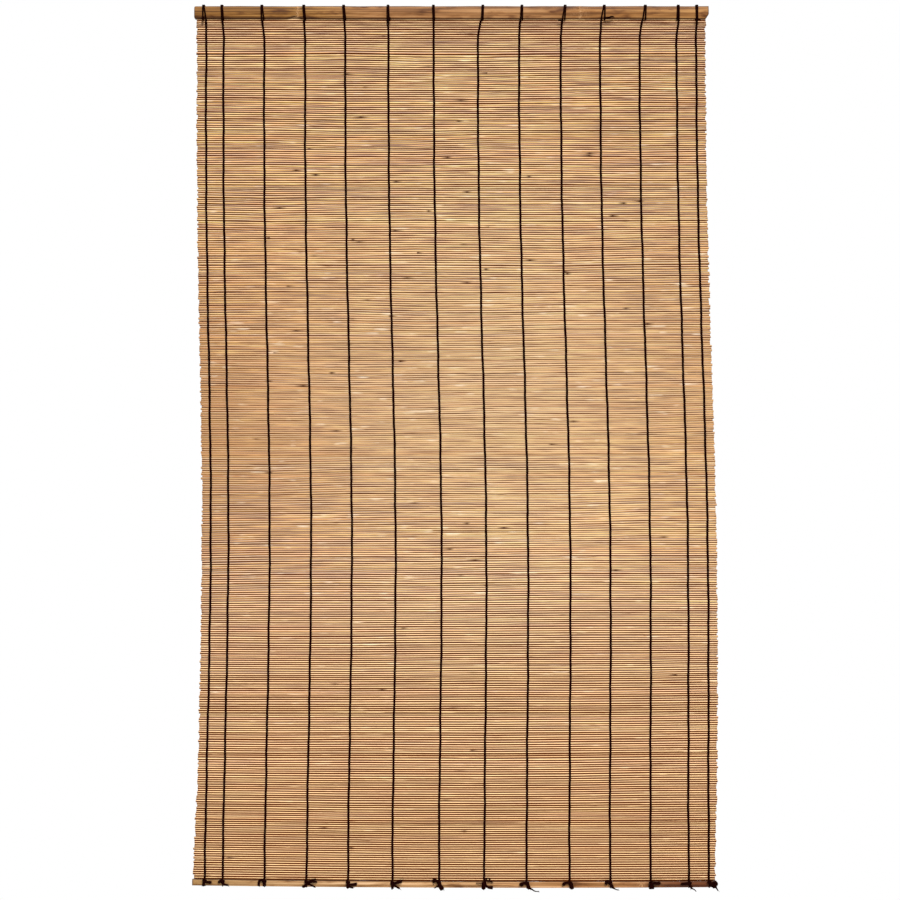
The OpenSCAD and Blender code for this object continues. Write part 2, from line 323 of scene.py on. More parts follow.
    # Dark flecks at the joints of the culm, thin and along the fibre
    off_line = add(tree, "ShaderNodeMath", {0: flank, 1: 0.1}, operation="SUBTRACT").outputs["Value"]
    off = add(tree, "ShaderNodeMath", {0: off_line}, operation="ABSOLUTE").outputs["Value"]
    thin = add(tree, "ShaderNodeMapRange", {"Value": off, "From Min": 0.68,
                                            "From Max": 0.36}).outputs["Result"]
    fleck = add(tree, "ShaderNodeMath", {0: mark, 1: thin}, operation="MULTIPLY").outputs["Value"]
    specked = add(tree, "ShaderNodeMix", {0: fleck, MIX_A: crevice_shaded, MIX_B: linear("#3e1c00")},
                  data_type="RGBA").outputs[MIX_OUT]
    # Fibres under a millimetre apart, felt as a fine bump
    fine = add(tree, "ShaderNodeMapping", {"Vector": place, "Scale": (20, 1500, 1500)}).outputs["Vector"]
    fibre = add(tree, "ShaderNodeTexNoise", {"Vector": fine, "Scale": 1, "Detail": 2}).outputs["Fac"]
    bump = add(tree, "ShaderNodeBump", {"Height": fibre, "Strength": 0.3,
                                        "Distance": 0.3 * MM}).outputs["Normal"]
    rough = add(tree, "ShaderNodeMapRange", {"Value": streak, "To Min": 0.45,
                                             "To Max": 0.65}).outputs["Result"]
    skin = add(tree, "ShaderNodeBsdfPrincipled", {"Base Color": specked, "Roughness": rough, "Normal": bump,
                                                  "IOR": 1.5, "Specular IOR Level": 0.08})
    tree.links.new(skin.outputs["BSDF"], out.inputs["Surface"])
    return material


def bamboo_lath_material(name, stops, right_stops, change_x, change_w, joint_share, tints):
    """A planed bamboo lath: satin skin with fine fibre lines, and a scar and pale ring at each joint."""
    material, tree, out = new_material(name)
    place = add(tree, "ShaderNodeTexCoord").outputs["Object"]
    joint = add(tree, "ShaderNodeAttribute", attribute_name="joint").outputs["Fac"]
    edge = add(tree, "ShaderNodeAttribute", attribute_name="edge").outputs["Fac"]
    along = add(tree, "ShaderNodeMapping", {"Vector": place, "Scale": (3, 190, 190)}).outputs["Vector"]
    grain = add(tree, "ShaderNodeTexNoise", {"Vector": along, "Scale": 1, "Detail": 5,
                                             "Roughness": 0.6}).outputs["Fac"]
    left = add(tree, "ShaderNodeValToRGB", {"Fac": grain}, stops=stops).outputs["Color"]
    right = add(tree, "ShaderNodeValToRGB", {"Fac": grain}, stops=right_stops).outputs["Color"]
    where = add(tree, "ShaderNodeSeparateXYZ", {"Vector": place}).outputs["X"]
    change = add(tree, "ShaderNodeMapRange", {"Value": where, "From Min": change_x - change_w / 2,
                                              "From Max": change_x + change_w / 2},
                 interpolation_type="SMOOTHSTEP").outputs["Result"]
    sided = add(tree, "ShaderNodeMix", {0: change, MIX_A: left, MIX_B: right},
                data_type="RGBA").outputs[MIX_OUT]
    # The shade also drifts slowly from the left end to the right
    share = add(tree, "ShaderNodeMapRange", {"Value": where, "From Min": head_low.x,
                                             "From Max": head_high.x}).outputs["Result"]
    tint = add(tree, "ShaderNodeValToRGB", {"Fac": share}, stops=tints).outputs["Color"]
    toned = add(tree, "ShaderNodeMix", {0: 1, MIX_A: sided, MIX_B: tint},
                data_type="RGBA", blend_type="MULTIPLY").outputs[MIX_OUT]
    # Smudges a few centimetres long
    wide = add(tree, "ShaderNodeMapping", {"Vector": place, "Scale": (24, 90, 90)}).outputs["Vector"]
    smudge = add(tree, "ShaderNodeTexNoise", {"Vector": wide, "Scale": 1, "Detail": 3}).outputs["Fac"]
    smudge_shade = add(tree, "ShaderNodeValToRGB", {"Fac": smudge}, stops=(
        (0.3, "#8c6c40"), (0.46, "#f4eee4"), (0.54, "#ffffff"), (0.7, "#ffffff"))).outputs["Color"]
    smudged = add(tree, "ShaderNodeMix", {0: 0.9, MIX_A: toned, MIX_B: smudge_shade},
                  data_type="RGBA", blend_type="MULTIPLY").outputs[MIX_OUT]
    # Thin dark fibre lines
    fine = add(tree, "ShaderNodeMapping", {"Vector": place, "Scale": (10, 420, 420)}).outputs["Vector"]
    fibre = add(tree, "ShaderNodeTexNoise", {"Vector": fine, "Scale": 1, "Detail": 3}).outputs["Fac"]
    line = add(tree, "ShaderNodeMapRange", {"Value": fibre, "From Min": 0.46, "From Max": 0.32,
                                            "To Min": 0, "To Max": 0.7}).outputs["Result"]
    lined = add(tree, "ShaderNodeMix", {0: line, MIX_A: smudged, MIX_B: linear("#4e2c10")},
                data_type="RGBA").outputs[MIX_OUT]
    # Painted shade along the long edges and at the ends, where the lath turns away from the light
    edge_shade_share = add(tree, "ShaderNodeMath", {0: edge, 1: 0.85}, operation="MULTIPLY").outputs["Value"]
    edge_shaded = add(tree, "ShaderNodeMix", {0: edge_shade_share, MIX_A: lined, MIX_B: linear("#3c2109")},
                data_type="RGBA").outputs[MIX_OUT]
    # A speckled pale ring at each joint
    grit = add(tree, "ShaderNodeTexNoise", {"Vector": place, "Scale": 380, "Detail": 2}).outputs["Fac"]
    speck = add(tree, "ShaderNodeMapRange", {"Value": grit, "From Min": 0.42, "From Max": 0.6,
                                             "To Min": 0, "To Max": joint_share}).outputs["Result"]
    wide_joint = add(tree, "ShaderNodeMath", {0: joint, 1: 0.35}, operation="POWER").outputs["Value"]
    ring = add(tree, "ShaderNodeMath", {0: wide_joint, 1: speck}, operation="MULTIPLY").outputs["Value"]
    ringed = add(tree, "ShaderNodeMix", {0: ring, MIX_A: edge_shaded, MIX_B: linear("#d6a878")},
                 data_type="RGBA").outputs[MIX_OUT]
    # Pale inner wood in a branch scar
    scar = add(tree, "ShaderNodeAttribute", attribute_name="scar").outputs["Fac"]
    scarred = add(tree, "ShaderNodeMix", {0: scar, MIX_A: ringed, MIX_B: linear("#d6b183")},
                  data_type="RGBA").outputs[MIX_OUT]
    bump = add(tree, "ShaderNodeBump", {"Height": fibre, "Strength": 0.35,
                                        "Distance": 0.4 * MM}).outputs["Normal"]
    rough = add(tree, "ShaderNodeMapRange", {"Value": grain, "To Min": 0.42,
                                             "To Max": 0.62}).outputs["Result"]
    skin = add(tree, "ShaderNodeBsdfPrincipled", {"Base Color": scarred, "Roughness": rough, "Normal": bump,
                                                  "IOR": 1.5, "Specular IOR Level": 0.15})
    tree.links.new(skin.outputs["BSDF"], out.inputs["Surface"])
    return material


def cotton_cord_material():
    """Dark brown twisted cotton: matt and fuzzy, with slanting plies that turn once in 2.4 mm."""
    material, tree, out = new_material("dark_brown_twisted_cotton")
    strand = add(tree, "ShaderNodeUVMap", uv_map="strand").outputs["UV"]
    parts = add(tree, "ShaderNodeSeparateXYZ", {"Vector": strand})
    slant = add(tree, "ShaderNodeMath", {0: parts.outputs["X"], 1: 2 * math.pi / (2.4 * MM)},
                operation="MULTIPLY")
    turn = add(tree, "ShaderNodeMath", {0: parts.outputs["Y"], 1: 6 * math.pi, 2: slant.outputs["Value"]},
               operation="MULTIPLY_ADD")
    ply = add(tree, "ShaderNodeMath", {0: turn.outputs["Value"]}, operation="SINE").outputs["Value"]
    place = add(tree, "ShaderNodeTexCoord").outputs["Object"]
    fuzz = add(tree, "ShaderNodeTexNoise", {"Vector": place, "Scale": 900, "Detail": 2}).outputs["Fac"]
    # Painted shade: the grooves between the plies are coloured darker
    shade = add(tree, "ShaderNodeMapRange", {"Value": ply, "From Min": -1, "From Max": 1,
                                             "To Min": 0.15, "To Max": 0.6}).outputs["Result"]
    mixed = add(tree, "ShaderNodeMath", {0: shade, 1: fuzz}, operation="MULTIPLY").outputs["Value"]
    colour = add(tree, "ShaderNodeValToRGB", {"Fac": mixed}, stops=(
        (0.0, "#0a0000"), (0.2, "#160301"), (0.5, "#260904"))).outputs["Color"]
    bump = add(tree, "ShaderNodeBump", {"Height": ply, "Strength": 0.6,
                                        "Distance": 0.2 * MM}).outputs["Normal"]
    cloth = add(tree, "ShaderNodeBsdfPrincipled", {"Base Color": colour, "Roughness": 0.92, "Normal": bump,
                                                   "Specular IOR Level": 0.02})
    tree.links.new(cloth.outputs["BSDF"], out.inputs["Surface"])
    return material


# Mesh helpers

def deselect_all():
    for obj in bpy.context.selected_objects:
        obj.select_set(False)


def active(obj):
    deselect_all()
    obj.select_set(True)
    bpy.context.view_layer.objects.active = obj


def corners(mesh):
    """The corners of a mesh as an array."""
    flat = np.empty(len(mesh.vertices) * 3)
    mesh.vertices.foreach_get("co", flat)
    return flat.reshape(-1, 3)


def give_attribute(mesh, name, values):
    """A number for each corner of a mesh, which its material reads."""
    layer = mesh.attributes.new(name, "FLOAT", "POINT")
    layer.data.foreach_set("value", np.asarray(values, dtype=np.float32))


def finish_piece(obj, name, material, nodes):
    """Names a piece, gives it its material and ties it to the frame."""
    obj.name = name
    obj.data.name = name
    obj.data.materials.clear()
    obj.data.materials.append(material)
    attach(obj, "root")
    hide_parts(*nodes)


def cut_into_spans(bar, spans):
    """Cuts a bar one long into spans, across the edges that run along X."""
    bpy.ops.object.mode_set(mode="EDIT")
    bpy.ops.mesh.select_mode(type="EDGE")
    bpy.ops.mesh.select_all(action="DESELECT")
    bpy.ops.object.mode_set(mode="OBJECT")
    co = corners(bar.data)
    for edge in bar.data.edges:
        a, b = edge.vertices
        edge.select = abs(co[a][0] - co[b][0]) > 0.5
    bpy.ops.object.mode_set(mode="EDIT")
    bpy.ops.mesh.subdivide(number_cuts=spans - 1)
    bpy.ops.object.mode_set(mode="OBJECT")


# Sticks

def stick_blank():
    """A plain six-sided stick, one long and one across, cut into spans along X."""
    deselect_all()
    bpy.ops.mesh.primitive_cylinder_add(vertices=STICK_SIDES, radius=0.5, depth=1,
                                        rotation=(0, math.pi / 2, 0))
    blank = bpy.context.active_object
    bpy.ops.object.transform_apply(location=True, rotation=True, scale=True)
    cut_into_spans(blank, STICK_SPANS)
    bpy.ops.object.shade_smooth_by_angle(angle=math.radians(60))
    return blank


def ring_places(index):
    """Where the rings of one stick lie along it, from 0 to 1, and which of them is a joint of the culm."""
    joint = dice.uniform(JOINT_FROM, 1 - JOINT_FROM)
    # The joint's mark runs out by its own length on each side and on each stick
    before, after = (JOINT_REACH * (REACH_LEAST + REACH_MORE * (index * step % 1)) for step in REACH_STEPS)
    places = np.concatenate([BEND_PLACES, (WORN_END, 1 - WORN_END),
                             (joint - before, joint, joint + after)])
    places.sort()
    return places, int(np.searchsorted(places, joint))


# What the sticks' material reads. Each hump is a height, a centre and a width: shares of the mat's height,
# or metres across it where the name ends in X
GAP_MEAN, GAP_SPREAD = 0.94, 0.09
GAP_PACKED = (0.54, 0.45, 0.19)
# Painted shadow of the head and bottom battens: the sticks next to them get wider painted crevice shade
GAP_TOP, GAP_TOP_FADE = 0.34, 0.025
GAP_FOOT, GAP_FOOT_FADE = 0.3, 0.05
GAP_LOWER, GAP_LOWER_OVER = 0.3, 0.36
# A joint is marked where a draw comes near enough to the highest one, and fully where it passes by MARK_FULL
MARK_LOWEST, MARK_LOWEST_LOSS, MARK_HIGHEST = -0.7, 1.4, 1.6
MARK_NEAR, MARK_NEAR_HUMP, MARK_FULL = 0.68, (0.85, 0.24, 0.1), 0.6
TONE_MEAN, TONE_SPREAD = 0.5, 0.08
TONE_LIMITS = (0.1, 0.9)
PALE_STRIP_X = (0.07, 0.1, 0.07)
LEFT_SHADE, LEFT_SHADE_X = (0.7, 0.5, 0.2), (1, -0.5, 0.36)
RIGHT_SHADE_LEAST = 0.08
RIGHT_SHADE, RIGHT_SHADE_X = (0.3, 0.41, 0.12), (1, 0.5, 0.22)
BLEACH, BLEACH_X = (1, 0.45, 0.24), (1, 0.08, 0.7)
PATCHY_TOP, PATCHY_LOSS, PATCHY_LOSS_OVER = 1.15, 0.65, 0.3
PATCHY_HUMP = (0.5, 0.47, 0.13)
SEED_MOST = 60
# Shade of the sticks by height: share of the mat's height, then what is added to a stick's tone
HEIGHT_TONES = np.array((
    (0.0, 0.03), (0.07, 0.03), (0.14, -0.1), (0.19, -0.05), (0.25, 0), (0.35, -0.03),
    (0.45, -0.07), (0.55, -0.03), (0.62, 0), (0.75, 0.04), (0.9, 0.09), (1.0, 0.09)))


def gap_at(share):
    """How open the sticks lie at a share of the mat's height, which sets how wide their painted crevice shade
    is. They are packed closest near the middle, and next to the battens they get more painted shade, as
    painted shadow of the battens.
    """
    ends = GAP_TOP * math.exp(-share / GAP_TOP_FADE) + GAP_FOOT * math.exp((share - 1) / GAP_FOOT_FADE)
    lower = GAP_LOWER * ease((share - LOWER_FROM) / GAP_LOWER_OVER)
    return GAP_MEAN - hump(share, *GAP_PACKED) + ends + lower


def joint_mark(share):
    """How strongly a stick's joint is marked, from 0 to 1. Most marks lie in the mat's upper third."""
    drawn = dice.uniform(MARK_LOWEST - MARK_LOWEST_LOSS * share, MARK_HIGHEST)
    near = MARK_NEAR + hump(share, *MARK_NEAR_HUMP)
    return limit((drawn - MARK_HIGHEST + near) / MARK_FULL, 0, 1)


def shade_stick(mesh, share, x, upright, mark):
    """Gives a stick what its material reads: its shade along its length, and how open and marked it is."""
    tone = limit(dice.gauss(TONE_MEAN, TONE_SPREAD), *TONE_LIMITS)
    tone += np.interp(share, HEIGHT_TONES[:, 0], HEIGHT_TONES[:, 1])
    left = hump(share, *LEFT_SHADE) * hump(x, *LEFT_SHADE_X)
    right = (RIGHT_SHADE_LEAST + hump(share, *RIGHT_SHADE)) * hump(x, *RIGHT_SHADE_X)
    patchy = PATCHY_TOP - PATCHY_LOSS * ease((share - LOWER_FROM) / PATCHY_LOSS_OVER)
    patchy += hump(share, *PATCHY_HUMP)
    same = np.ones(len(x))
    give_attribute(mesh, "tone", tone + hump(x, *PALE_STRIP_X) - left - right)
    give_attribute(mesh, "seed", same * dice.uniform(0, SEED_MOST))
    give_attribute(mesh, "flank", upright * 2)
    # The gap sets how wide the stick's painted crevice shade and how strong its painted highlight are
    give_attribute(mesh, "gap", same * (gap_at(share) + dice.gauss(0, GAP_SPREAD)))
    give_attribute(mesh, "bleach", hump(share, *BLEACH) * hump(x, *BLEACH_X))
    give_attribute(mesh, "patchy", same * patchy)
    give_attribute(mesh, "mark", mark)


def shaped_stick(blank, index):
    """One stick of the mat: uneven, slightly bent, swollen at a joint of the culm and with its own shade."""
    mesh = blank.data.copy()
    co = corners(mesh)
    ring = np.rint((co[:, 0] + 0.5) * STICK_SPANS).astype(int)
    rings = STICK_SPANS + 1
    places, joint = ring_places(index)
    share = index / (stick_count - 1)
    waist = WAIST * math.sqrt(math.sin(math.pi * share))
    length = STICK_LEN - waist + dice.uniform(*LENGTH_OFF) * MM
    middle = stick_x(share) + dice.uniform(*MIDDLE_OFF) * MM
    high = STICK_PITCH * stick_thick[index] * dice.uniform(*HIGH_SHARES)
    deep = STICK_PITCH * stick_thick[index] * dice.uniform(*DEEP_SHARES)
    swell = np.array([1 + dice.uniform(*RING_SWELL) for _ in range(rings)])
    swell[0] *= dice.uniform(*END_SHARES)
    swell[-1] *= dice.uniform(*END_SHARES)
    swell[joint] *= JOINT_SWELL
    mark = np.zeros(rings)
    mark[joint] = joint_mark(share)
    bend_y = np.array([dice.uniform(*DEPTH_OFF) * MM for _ in range(rings)])
    bend_z = np.array([dice.uniform(*HEIGHT_OFF) * MM for _ in range(rings)])
    turn = dice.uniform(*STICK_TURN)
    across = co[:, 1] * math.cos(turn) - co[:, 2] * math.sin(turn)
    upright = co[:, 1] * math.sin(turn) + co[:, 2] * math.cos(turn)
    made = np.empty_like(co)
    made[:, 0] = middle + (places[ring] - 0.5) * length
    made[:, 1] = across * deep * swell[ring] + bend_y[ring] + dice.uniform(*DEPTH_OFF) * MM
    bend_x = middle + (BEND_PLACES - 0.5) * length
    sag = np.interp(made[:, 0], bend_x, hang(bend_x, share))
    made[:, 2] = upright * high * swell[ring] + bend_z[ring] + stick_z(index) - sag
    mesh.vertices.foreach_set("co", made.ravel())
    shade_stick(mesh, share, made[:, 0], upright, mark[ring])
    stick = bpy.data.objects.new("stick", mesh)
    bpy.context.collection.objects.link(stick)
    return stick


def reed_sticks(material):
    """All the sticks of the mat, joined into one piece."""
    blank = stick_blank()
    sticks = [shaped_stick(blank, i) for i in range(stick_count)]
    bpy.data.objects.remove(blank)
    deselect_all()
    for stick in sticks:
        stick.select_set(True)
    bpy.context.view_layer.objects.active = sticks[0]
    bpy.ops.object.join()
    finish_piece(sticks[0], "reed_sticks", material, ["reed_mat"])


# Battens

FACE_ROW_SHARES = (0.05, 0.12, 0.25, 0.42, 0.58, 0.75, 0.88, 0.95)
EDGE_STEPS = 4
# Rings along a lath, in millimetres: at each end, one more before the right end, all along it, round a joint
END_RINGS = (0, 0.3, 0.8, 1.6, 3)
LAST_RING = 6
RING_STEP = 10
JOINT_RINGS = (-4, -2.5, -1.2, 0, 1.2, 2.5, 4)
JOINT_W = 2.2 * MM
# Waves along a lath, in radians a metre: two of its upper edge, then two of its face, and how high each
# second wave is beside the first, and the face's beside the edge's
LATH_WAVES = (41, 97, 23, 71)
UPPER_SECOND, FACE_SECOND = 0.6, 0.5
FACE_SHARE = 0.4
# How far in from an edge the painted shade reaches, beside the edge's rounding
EDGE_SHADE_REACH = 1.5


def lath_outline(thick, high, crown, edge_r):
    """A lath's section round its middle as (y, z) points: round edges, and a front that bulges to -Y."""
    points = []
    run = high - 2 * edge_r
    for quarter, (sy, sz) in enumerate(((1, 1), (-1, 1), (-1, -1), (1, -1))):
        for step in range(EDGE_STEPS + 1):
            a = math.radians(90 * quarter + 90 * step / EDGE_STEPS)
            points.append((sy * (thick / 2 - edge_r) + edge_r * math.cos(a),
                           sz * (high / 2 - edge_r) + edge_r * math.sin(a)))
        if quarter in (1, 3):
            points += [(sy * thick / 2, sz * (run / 2 - run * row)) for row in FACE_ROW_SHARES]
        else:
            points.append((0, sz * high / 2))
    return [(y + crown * (2 * z / high) ** 2 * (0.5 - y / thick), z) for y, z in points]


def lath_rings(low_x, length, joints, fine_places):
    """How far a lath's rings lie from its left end. They are closer at its ends, joints and fine places."""
    ends = [place * MM for place in END_RINGS]
    places = ends + [length - place for place in ends] + [length - LAST_RING * MM]
    places += [RING_STEP * MM * i for i in range(1, int(length / (RING_STEP * MM)))]
    places += [x - low_x for x in fine_places]
    places += [x - low_x + off * MM for x in joints for off in JOINT_RINGS]
    return np.unique(np.round(places, 5))


def lath_blank(outline, spans):
    """A bar one long with a lath's section, drawn out along X and cut into spans."""
    deselect_all()
    bpy.ops.mesh.primitive_circle_add(vertices=len(outline), radius=1, fill_type="NGON", location=(0, 0, 0))
    blank = bpy.context.active_object
    for vertex, (y, z) in zip(blank.data.vertices, outline):
        vertex.co = (0, y, z)
    bpy.ops.object.mode_set(mode="EDIT")
    bpy.ops.mesh.select_all(action="SELECT")
    bpy.ops.mesh.extrude_region_move(TRANSFORM_OT_translate={"value": (1, 0, 0)})
    bpy.ops.mesh.select_all(action="SELECT")
    bpy.ops.mesh.normals_make_consistent(inside=False)
    bpy.ops.object.mode_set(mode="OBJECT")
    cut_into_spans(blank, spans)
    return blank


def lath(low, high, crown, edge_r, joints, fine_places, rise, wave, shape_ends, share):
    """A split lath between two corners, with its joints, waves and ends. share is its height on the mat."""
    length, thick, tall = (high[axis] - low[axis] for axis in range(3))
    centre = (low + high) / 2
    places = lath_rings(low.x, length, joints, fine_places)
    obj = lath_blank(lath_outline(thick, tall, crown, edge_r), len(places) - 1)
    co = corners(obj.data)
    x = places[np.rint(co[:, 0] * (len(places) - 1)).astype(int)]
    y, z = co[:, 1].copy(), co[:, 2].copy()
    near_joint = np.zeros(len(co))
    for joint in joints:
        near_joint = np.maximum(near_joint, hump(x, 1, joint - low.x, JOINT_W))
    front = np.clip(0.5 - y / thick, 0, 1)
    y -= rise * near_joint * front
    waves = [np.sin(x * rate + dice.uniform(0, FULL_TURN)) for rate in LATH_WAVES]
    upper = np.clip(z / (tall / 2), 0, 1)
    z += wave * upper * (waves[0] + UPPER_SECOND * waves[1]) / (1 + UPPER_SECOND)
    y += FACE_SHARE * wave * (waves[2] + FACE_SECOND * waves[3])
    z, scar, under = shape_ends(x + low.x, z, front)
    from_edge = np.minimum(np.minimum(x, length - x), np.minimum(z - under, tall / 2 - z))
    made = np.column_stack([x + low.x, y + centre.y, z + centre.z - hang(x + low.x, share)])
    obj.data.vertices.foreach_set("co", made.ravel())
    give_attribute(obj.data, "joint", near_joint)
    # The edge value sets the painted shade near the lath's edges and ends
    give_attribute(obj.data, "edge", np.clip(EDGE_SHADE_REACH - from_edge / edge_r, 0, 1))
    give_attribute(obj.data, "scar", scar)
    obj.data.update()
    active(obj)
    bpy.ops.object.shade_smooth_by_angle(angle=math.radians(40))
    return obj


HEAD_JOINTS = (-300 * MM, 250 * MM)
FOOT_JOINTS = (-116 * MM, 361 * MM)
HEAD_SCAR_X, HEAD_SCAR_W, HEAD_SCAR_H = -305 * MM, 34 * MM, 5 * MM
HEAD_SCAR_POWER = 1.3
HEAD_SCAR_RINGS = HEAD_SCAR_X + np.linspace(-0.5, 0.5, 15) * HEAD_SCAR_W
# Shares of the way from back to front: twice where the scar begins, and where its pale wood ends
SCAR_BEGIN, SCAR_PALE_END = 0.6, 0.6
SCAR_SKIN = 0.2 * MM
HEAD_SPLIT_W, HEAD_SPLIT_H = 6 * MM, 9 * MM
HEAD_WORN_R = 3 * MM


def head_ends(x, z, front):
    """The head batten's worn left corners, its split right corner, and the branch scar in its front."""
    half = (head_high.z - head_low.z) / 2
    scar = HEAD_SCAR_H * np.clip(1 - abs(2 * (x - HEAD_SCAR_X) / HEAD_SCAR_W), 0, 1) ** HEAD_SCAR_POWER
    split = HEAD_SPLIT_H * np.clip(1 - (head_high.x - x) / HEAD_SPLIT_W, 0, 1)
    from_left = np.clip(HEAD_WORN_R - (x - head_low.x), 0, HEAD_WORN_R)
    worn = HEAD_WORN_R - np.sqrt(HEAD_WORN_R ** 2 - from_left ** 2)
    cut = scar * np.clip(front * 2 - SCAR_BEGIN, 0, 1)
    under = -half + np.maximum(np.maximum(cut, split), worn)
    pale = (z < under + SCAR_SKIN) & (front < SCAR_PALE_END)
    in_scar = np.where(pale, np.clip(scar / HEAD_SCAR_H * 2, 0, 1), 0)
    return np.clip(z, under, half - worn), in_scar, under


def foot_ends(x, z, front):
    """The bottom batten is whole, and its lower edge is clean."""
    return z, np.zeros(len(x)), np.full(len(x), foot_low.z - foot_high.z)


# Cords

def smooth(points, steps):
    """A curve through some points, with a few steps between each two."""
    p = np.array(points, dtype=float)
    p = np.vstack([2 * p[0] - p[1], p, 2 * p[-1] - p[-2]])
    out = []
    for i in range(1, len(p) - 2):
        for step in range(steps):
            t = step / steps
            a, b, c, d = p[i - 1], p[i], p[i + 1], p[i + 2]
            out.append(0.5 * (2 * b + (c - a) * t + (2 * a - 5 * b + 4 * c - d) * t ** 2
                              + (3 * b - a - 3 * c + d) * t ** 3))
    out.append(p[-2])
    return np.array(out)


# A direction along which no cord sets out
TUBE_START = (0.31, 0.9, 0.3)


def tube(points, radii, sides):
    """Corners, faces and UVs of a tube along a route. U is the length along it, V goes round it."""
    p = np.asarray(points, dtype=float)
    radii = np.broadcast_to(np.asarray(radii, dtype=float), (len(p),))
    heading = np.gradient(p, axis=0)
    heading /= np.linalg.norm(heading, axis=1)[:, None]
    side = np.cross(heading[0], TUBE_START)
    sides_along = np.empty_like(p)
    for i, t in enumerate(heading):
        side = side - side.dot(t) * t
        side = side / np.linalg.norm(side)
        sides_along[i] = side
    up = np.cross(heading, sides_along)
    angle = np.arange(sides) * 2 * math.pi / sides
    ring = (np.cos(angle)[None, :, None] * sides_along[:, None, :]
            + np.sin(angle)[None, :, None] * up[:, None, :])
    verts = (p[:, None, :] + radii[:, None, None] * ring).reshape(-1, 3)
    i = np.arange(len(p) - 1)[:, None] * sides
    a = np.arange(sides)[None, :]
    b = (a + 1) % sides
    faces = np.stack([i + a, i + b, i + sides + b, i + sides + a], axis=-1).reshape(-1, 4)
    run = np.concatenate([[0], np.cumsum(np.linalg.norm(np.diff(p, axis=0), axis=1))])
    u0 = np.repeat(run[:-1], sides)
    u1 = np.repeat(run[1:], sides)
    v0 = np.tile(np.arange(sides) / sides, len(p) - 1)
    v1 = v0 + 1 / sides
    uv = np.stack([np.column_stack([u0, v0]), np.column_stack([u0, v1]),
                   np.column_stack([u1, v1]), np.column_stack([u1, v0])], axis=1)
    caps = [list(range(sides))[::-1], [(len(p) - 1) * sides + k for k in range(sides)]]
    return verts, faces, uv, caps


def cord_piece(name, runs, material, nodes):
    """One piece made of several tubes. Each run is (points, radii, sides)."""
    verts, faces, uvs = [], [], []
    start = 0
    for points, radii, sides in runs:
        v, f, uv, caps = tube(points, radii, sides)
        verts.append(v)
        faces += (f + start).tolist()
        uvs += uv.reshape(-1, 2).tolist()
        for cap in caps:
            faces.append([c + start for c in cap])
            uvs += [[0, k / sides] for k in range(sides)]
        start += len(v)
    mesh = bpy.data.meshes.new(name)
    mesh.from_pydata(np.vstack(verts).tolist(), [], faces)
    layer = mesh.uv_layers.new(name="strand")
    layer.data.foreach_set("uv", np.array(uvs, dtype=np.float32).ravel())
    mesh.polygons.foreach_set("use_smooth", [True] * len(mesh.polygons))
    obj = bpy.data.objects.new(name, mesh)
    bpy.context.collection.objects.link(obj)
    finish_piece(obj, name, material, nodes)


cord_half_span = STICK_LEN / 2 - CORD_INSET


def warp_x(k, z):
    """Sideways place of a warp cord at a height. It comes in from the leg of its head loop that runs on."""
    below = max(0, mat_high.z - z)
    share = min(1, below / mat_drop)
    lean = LOOP_SHAPES[k][1] * MM * max(0, 1 - below / LEAN_REACH) ** LEAN_POWER
    spread = 1 - CORD_WAIST * math.sin(math.pi * share) + CORD_FOOT_SPREAD * share
    return cord_half_span * CORD_SHARES[k] * spread + sway_at(share) + lean


def wander(z, phases):
    """How far a warp cord strays sideways at a height."""
    return sum(far * math.sin(z * rate + phase) for (far, rate), phase in zip(WANDER, phases)) * MM


def twine(k, sign, phases):
    """One strand of a warp cord down the mat, in front of every second stick and behind the others."""
    points, radii = [], []
    for step in range((stick_count - 1) * TWINE_STEPS + 1):
        s = step / TWINE_STEPS
        z = stick_z(s)
        turn = math.pi * s
        x = warp_x(k, z) + wander(z, phases) + sign * TWINE_SIDE * math.sin(turn)
        points.append((x, -sign * TWINE_DEPTH * math.cos(turn), z - hang(x, s / (stick_count - 1))))
        radii.append(STRAND_NECK_R + (STRAND_R - STRAND_NECK_R) * abs(math.cos(turn)))
    return points, radii


# Head loops: thickness, half the way between the two turns, the rounding over an edge, how far a leg is
# pressed in at its foot, and how far the closed turn dips below the batten
LOOP_R = 1.6 * MM
LOOP_SPREAD = 1.2 * MM
LOOP_EDGE = 1.5 * MM
LOOP_PRESS = 0.5 * MM
LOOP_DIP = 1.5 * MM
# The turn under the bottom batten: thickness, rounding over an edge, and how far down its legs start
FOOT_R = 1.1 * MM
FOOT_EDGE = 1.2 * MM
FOOT_START = 1 * MM
ROUNDING = 0.6
TURN_STEPS = 3
# Knots: an overhand knot, open by some radians, and its place in front of and below the batten's upper edge
KNOT_R = 3.4 * MM
KNOT_H = 1.2 * MM
KNOT_STRAND_R = 1.5 * MM
KNOT_OPEN = 0.35
KNOT_STEPS = 30
KNOT_OUT, KNOT_DOWN = 1.2 * MM, 2.5 * MM
# Loose ends: how much thicker than drawn, how far off the batten they start and arch, and the fibres at a tip
STROKE_SWELL = 1.75
STROKE_OFF, STROKE_ARCH = 0.5 * MM, 1.4 * MM
STROKE_STEPS = 5
FRAY_COUNT, FRAY_SIDES = 6, 4
FRAY_SPREAD, FRAY_BEND = (0.5, 0.3, 0.5), 0.4
FRAY_REACH, FRAY_START = (0.8, 1.9), 0.6
FRAY_RADII = np.array((0.45, 0.35, 0.2)) * MM
